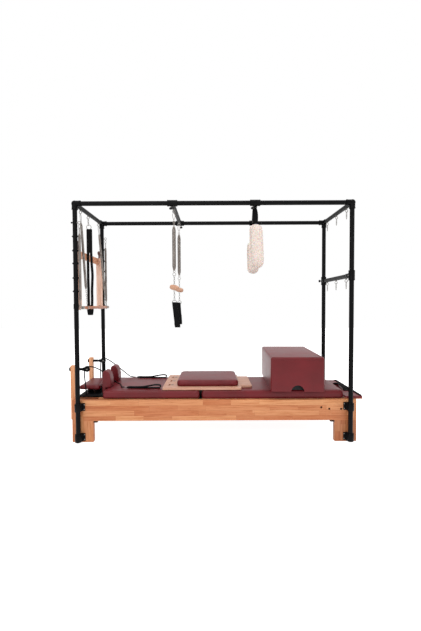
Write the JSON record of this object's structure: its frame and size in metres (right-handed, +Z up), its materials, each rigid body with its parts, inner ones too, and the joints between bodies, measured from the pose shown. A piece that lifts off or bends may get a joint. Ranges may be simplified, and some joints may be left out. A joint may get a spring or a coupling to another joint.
{
  "type": "pilates trapeze table",
  "caption": "Upholstered pilates table with a tube canopy, sliding crossbars, springs, loops, a carriage with ropes, a jump board and a sitting box.",
  "frame": {"origin": "middle of the footprint, on the floor", "axes": "+X towards the foot end, +Y towards the rear side, +Z up"},
  "size_m": [2.5184, 0.842, 2.022],
  "materials": {
    "wood": "satin",
    "pale_wood": "satin",
    "black_metal": "satin",
    "steel": "satin",
    "black_plastic": "satin",
    "vinyl": "satin",
    "webbing": "matte",
    "fleece": "matte"
  },
  "bodies": {
    "base": {"side_frame_front": "wood", "side_frame_rear": "wood", "end_board_head": "wood", "end_board_foot": "wood", "spring_bar": "steel", "foot_platform": "vinyl", "foot_strap": "webbing", "post_head_front": "black_metal", "post_head_rear": "black_metal", "post_foot_front": "black_metal", "post_foot_rear": "black_metal", "top_rail_front": "black_metal", "top_rail_rear": "black_metal", "crossbar_head": "black_metal", "crossbar_foot": "black_metal", "rope_front": "webbing", "rope_rear": "webbing"},
    "carriage": {"carriage_board": "wood", "carriage_mat": "vinyl", "rope_handle_front": "webbing", "rope_handle_rear": "webbing"},
    "headrest": {"headrest": "vinyl"},
    "shoulder_rest_front": {"shoulder_rest_front": "vinyl"},
    "shoulder_rest_rear": {"shoulder_rest_rear": "vinyl"},
    "wheelset_head": {"wheelset_head": "black_plastic"},
    "wheelset_foot": {"wheelset_foot": "black_plastic"},
    "riser_front": {"riser_front": "wood"},
    "pulley_block_front": {"pulley_block_front": "black_metal"},
    "pulley_sheave_front": {"pulley_sheave_front": "black_plastic"},
    "riser_rear": {"riser_rear": "wood"},
    "pulley_block_rear": {"pulley_block_rear": "black_metal"},
    "pulley_sheave_rear": {"pulley_sheave_rear": "black_plastic"},
    "insert_mat": {"insert_mat": "vinyl"},
    "jump_board": {"jump_board": "pale_wood", "jump_pad": "vinyl"},
    "sitting_box": {"sitting_box": "vinyl"},
    "crossbar_left": {"crossbar_left": "black_metal"},
    "knob_left_front": {"knob_left_front": "black_plastic"},
    "knob_left_rear": {"knob_left_rear": "black_plastic"},
    "centre_spring_front": {"centre_spring_front": "steel"},
    "grip_front": {"grip_front": "pale_wood"},
    "ankle_strap_front": {"ankle_strap_front": "webbing"},
    "centre_spring_rear": {"centre_spring_rear": "steel"},
    "grip_rear": {"grip_rear": "pale_wood"},
    "ankle_strap_rear": {"ankle_strap_rear": "webbing"},
    "crossbar_right": {"crossbar_right": "black_metal"},
    "knob_right_front": {"knob_right_front": "black_plastic"},
    "knob_right_rear": {"knob_right_rear": "black_plastic"},
    "fleece_loop_front": {"fleece_loop_front": "fleece"},
    "fleece_loop_rear": {"fleece_loop_rear": "fleece"},
    "crossbar_mid": {"crossbar_mid": "black_metal"},
    "knob_mid_front": {"knob_mid_front": "black_plastic"},
    "knob_mid_rear": {"knob_mid_rear": "black_plastic"},
    "push_through_bar": {"push_through_bar": "pale_wood"},
    "safety_strap": {"safety_strap": "webbing"},
    "slant_springs": {"slant_spring_front": "steel", "slant_spring_rear": "steel"},
    "roll_down_bar": {"roll_down_bar": "pale_wood"},
    "post_spring_front": {"post_spring_front": "steel"},
    "post_spring_rear": {"post_spring_rear": "steel"}
  },
  "joints": [
    {"name": "carriage_slide", "type": "slide", "parent": "base", "child": "carriage", "axis": [1, 0, 0], "range_m": [-0.008, 0.01], "deforming": ["rope_front", "rope_rear"]},
    {"name": "headrest_tilt", "type": "hinge", "parent": "carriage", "child": "headrest", "pos_m": [-1.01485, -0.024, 0.411], "axis": [0, 1, 0], "range_deg": [0, 20]},
    {"name": "shoulder_rest_front_lift", "type": "slide", "parent": "carriage", "child": "shoulder_rest_front", "axis": [0, 0, 1], "range_m": [0, 0.09]},
    {"name": "shoulder_rest_rear_lift", "type": "slide", "parent": "carriage", "child": "shoulder_rest_rear", "axis": [0, 0, 1], "range_m": [0, 0.09]},
    {"name": "wheelset_head_spin", "type": "hinge", "parent": "carriage", "child": "wheelset_head", "pos_m": [-0.90085, -0.024, 0.3113], "axis": [0, 1, 0], "range_deg": [-30, 30]},
    {"name": "wheelset_foot_spin", "type": "hinge", "parent": "carriage", "child": "wheelset_foot", "pos_m": [-0.23085, -0.024, 0.3113], "axis": [0, 1, 0], "range_deg": [-30, 30]},
    {"name": "riser_front_height", "type": "slide", "parent": "base", "child": "riser_front", "axis": [0, 0, 1], "range_m": [-0.08, 0.06], "deforming": ["rope_front"]},
    {"name": "pulley_front_swivel", "type": "hinge", "parent": "riser_front", "child": "pulley_block_front", "pos_m": [-1.10385, -0.262, 0.606], "axis": [1, 0, 0], "range_deg": [-40, 40], "deforming": ["rope_front"]},
    {"name": "sheave_front_spin", "type": "hinge", "parent": "pulley_block_front", "child": "pulley_sheave_front", "pos_m": [-1.10385, -0.262, 0.606], "axis": [0, 1, 0], "continuous": true},
    {"name": "riser_rear_height", "type": "slide", "parent": "base", "child": "riser_rear", "axis": [0, 0, 1], "range_m": [-0.08, 0.06], "deforming": ["rope_rear"]},
    {"name": "pulley_rear_swivel", "type": "hinge", "parent": "riser_rear", "child": "pulley_block_rear", "pos_m": [-1.10385, 0.214, 0.606], "axis": [1, 0, 0], "range_deg": [-40, 40], "deforming": ["rope_rear"]},
    {"name": "sheave_rear_spin", "type": "hinge", "parent": "pulley_block_rear", "child": "pulley_sheave_rear", "pos_m": [-1.10385, 0.214, 0.606], "axis": [0, 1, 0], "continuous": true},
    {"name": "insert_mat_lift", "type": "slide", "parent": "base", "child": "insert_mat", "axis": [0, 0, 1], "range_m": [0, 0.1]},
    {"name": "jump_board_lift", "type": "slide", "parent": "insert_mat", "child": "jump_board", "axis": [0, 0, 1], "range_m": [0, 0.25]},
    {"name": "sitting_box_lift", "type": "slide", "parent": "insert_mat", "child": "sitting_box", "axis": [0, 0, 1], "range_m": [0, 0.25]},
    {"name": "crossbar_left_slide", "type": "slide", "parent": "base", "child": "crossbar_left", "axis": [1, 0, 0], "range_m": [-0.4, 0.5]},
    {"name": "knob_left_front_turn", "type": "hinge", "parent": "crossbar_left", "child": "knob_left_front", "pos_m": [-0.35085, -0.394, 1.96], "axis": [0, 0, 1], "range_deg": [-90, 90]},
    {"name": "knob_left_rear_turn", "type": "hinge", "parent": "crossbar_left", "child": "knob_left_rear", "pos_m": [-0.32685, 0.346, 1.96], "axis": [0, 0, 1], "range_deg": [-90, 90]},
    {"name": "centre_spring_front_swing", "type": "hinge", "parent": "crossbar_left", "child": "centre_spring_front", "pos_m": [-0.33885, -0.274, 1.958], "axis": [0, 1, 0], "range_deg": [-20, 20]},
    {"name": "grip_front_pull", "type": "slide", "parent": "centre_spring_front", "child": "grip_front", "axis": [0, 0, 1], "range_m": [-0.3, 0], "stiffness_N_per_m": 200, "springref_m": 0.02, "deforming": ["centre_spring_front"]},
    {"name": "ankle_strap_front_swing", "type": "hinge", "parent": "grip_front", "child": "ankle_strap_front", "pos_m": [-0.33885, -0.274, 1.182], "axis": [1, 0, 0], "range_deg": [-40, 40]},
    {"name": "centre_spring_rear_swing", "type": "hinge", "parent": "crossbar_left", "child": "centre_spring_rear", "pos_m": [-0.33885, 0.226, 1.958], "axis": [0, 1, 0], "range_deg": [-20, 20]},
    {"name": "grip_rear_pull", "type": "slide", "parent": "centre_spring_rear", "child": "grip_rear", "axis": [0, 0, 1], "range_m": [-0.3, 0], "stiffness_N_per_m": 200, "springref_m": 0.02, "deforming": ["centre_spring_rear"]},
    {"name": "ankle_strap_rear_swing", "type": "hinge", "parent": "grip_rear", "child": "ankle_strap_rear", "pos_m": [-0.33885, 0.226, 1.182], "axis": [1, 0, 0], "range_deg": [-40, 40]},
    {"name": "crossbar_right_slide", "type": "slide", "parent": "base", "child": "crossbar_right", "axis": [1, 0, 0], "range_m": [-0.5, 0.6]},
    {"name": "knob_right_front_turn", "type": "hinge", "parent": "crossbar_right", "child": "knob_right_front", "pos_m": [0.32015, -0.394, 1.96], "axis": [0, 0, 1], "range_deg": [-90, 90]},
    {"name": "knob_right_rear_turn", "type": "hinge", "parent": "crossbar_right", "child": "knob_right_rear", "pos_m": [0.39315, 0.346, 1.96], "axis": [0, 0, 1], "range_deg": [-90, 90]},
    {"name": "fleece_loop_front_swing", "type": "hinge", "parent": "crossbar_right", "child": "fleece_loop_front", "pos_m": [0.35024, -0.312, 1.996], "axis": [0.0982, 0.9952, 0], "range_deg": [-20, 20]},
    {"name": "fleece_loop_rear_swing", "type": "hinge", "parent": "crossbar_right", "child": "fleece_loop_rear", "pos_m": [0.40706, 0.264, 1.996], "axis": [0.0982, 0.9952, 0], "range_deg": [-20, 20]},
    {"name": "crossbar_mid_height", "type": "slide", "parent": "base", "child": "crossbar_mid", "axis": [0, 0, 1], "range_m": [-0.8, 0.46]},
    {"name": "knob_mid_front_turn", "type": "hinge", "parent": "crossbar_mid", "child": "knob_mid_front", "pos_m": [1.09915, -0.394, 1.399], "axis": [1, 0, 0], "range_deg": [-90, 90]},
    {"name": "knob_mid_rear_turn", "type": "hinge", "parent": "crossbar_mid", "child": "knob_mid_rear", "pos_m": [1.09915, 0.346, 1.399], "axis": [1, 0, 0], "range_deg": [-90, 90]},
    {"name": "push_through_bar_tilt", "type": "hinge", "parent": "base", "child": "push_through_bar", "pos_m": [-1.15085, -0.024, 1.15], "axis": [0, 1, 0], "range_deg": [-80, 0]},
    {"name": "safety_strap_swing", "type": "hinge", "parent": "base", "child": "safety_strap", "pos_m": [-1.14085, -0.069, 1.958], "axis": [1, 0, 0], "range_deg": [-8, 8]},
    {"name": "slant_springs_swing", "type": "hinge", "parent": "base", "child": "slant_springs", "pos_m": [-1.14085, -0.024, 1.958], "axis": [0, 1, 0], "range_deg": [-20, 0]},
    {"name": "roll_down_bar_pull", "type": "slide", "parent": "slant_springs", "child": "roll_down_bar", "axis": [-0.071, 0, 0.9975], "range_m": [-0.25, 0], "stiffness_N_per_m": 260, "springref_m": 0.02, "deforming": ["slant_spring_front", "slant_spring_rear"]},
    {"name": "post_spring_front_swing", "type": "hinge", "parent": "base", "child": "post_spring_front", "pos_m": [-1.10585, -0.394, 1.841], "axis": [0, 1, 0], "range_deg": [-25, 0]},
    {"name": "post_spring_rear_swing", "type": "hinge", "parent": "base", "child": "post_spring_rear", "pos_m": [-1.10585, 0.346, 1.841], "axis": [0, 1, 0], "range_deg": [-25, 0]}
  ],
  "couplings": [
    {"joint": "wheelset_head_spin", "follows": "carriage_slide", "rad_per_m": 40},
    {"joint": "wheelset_foot_spin", "follows": "carriage_slide", "rad_per_m": 40}
  ]
}
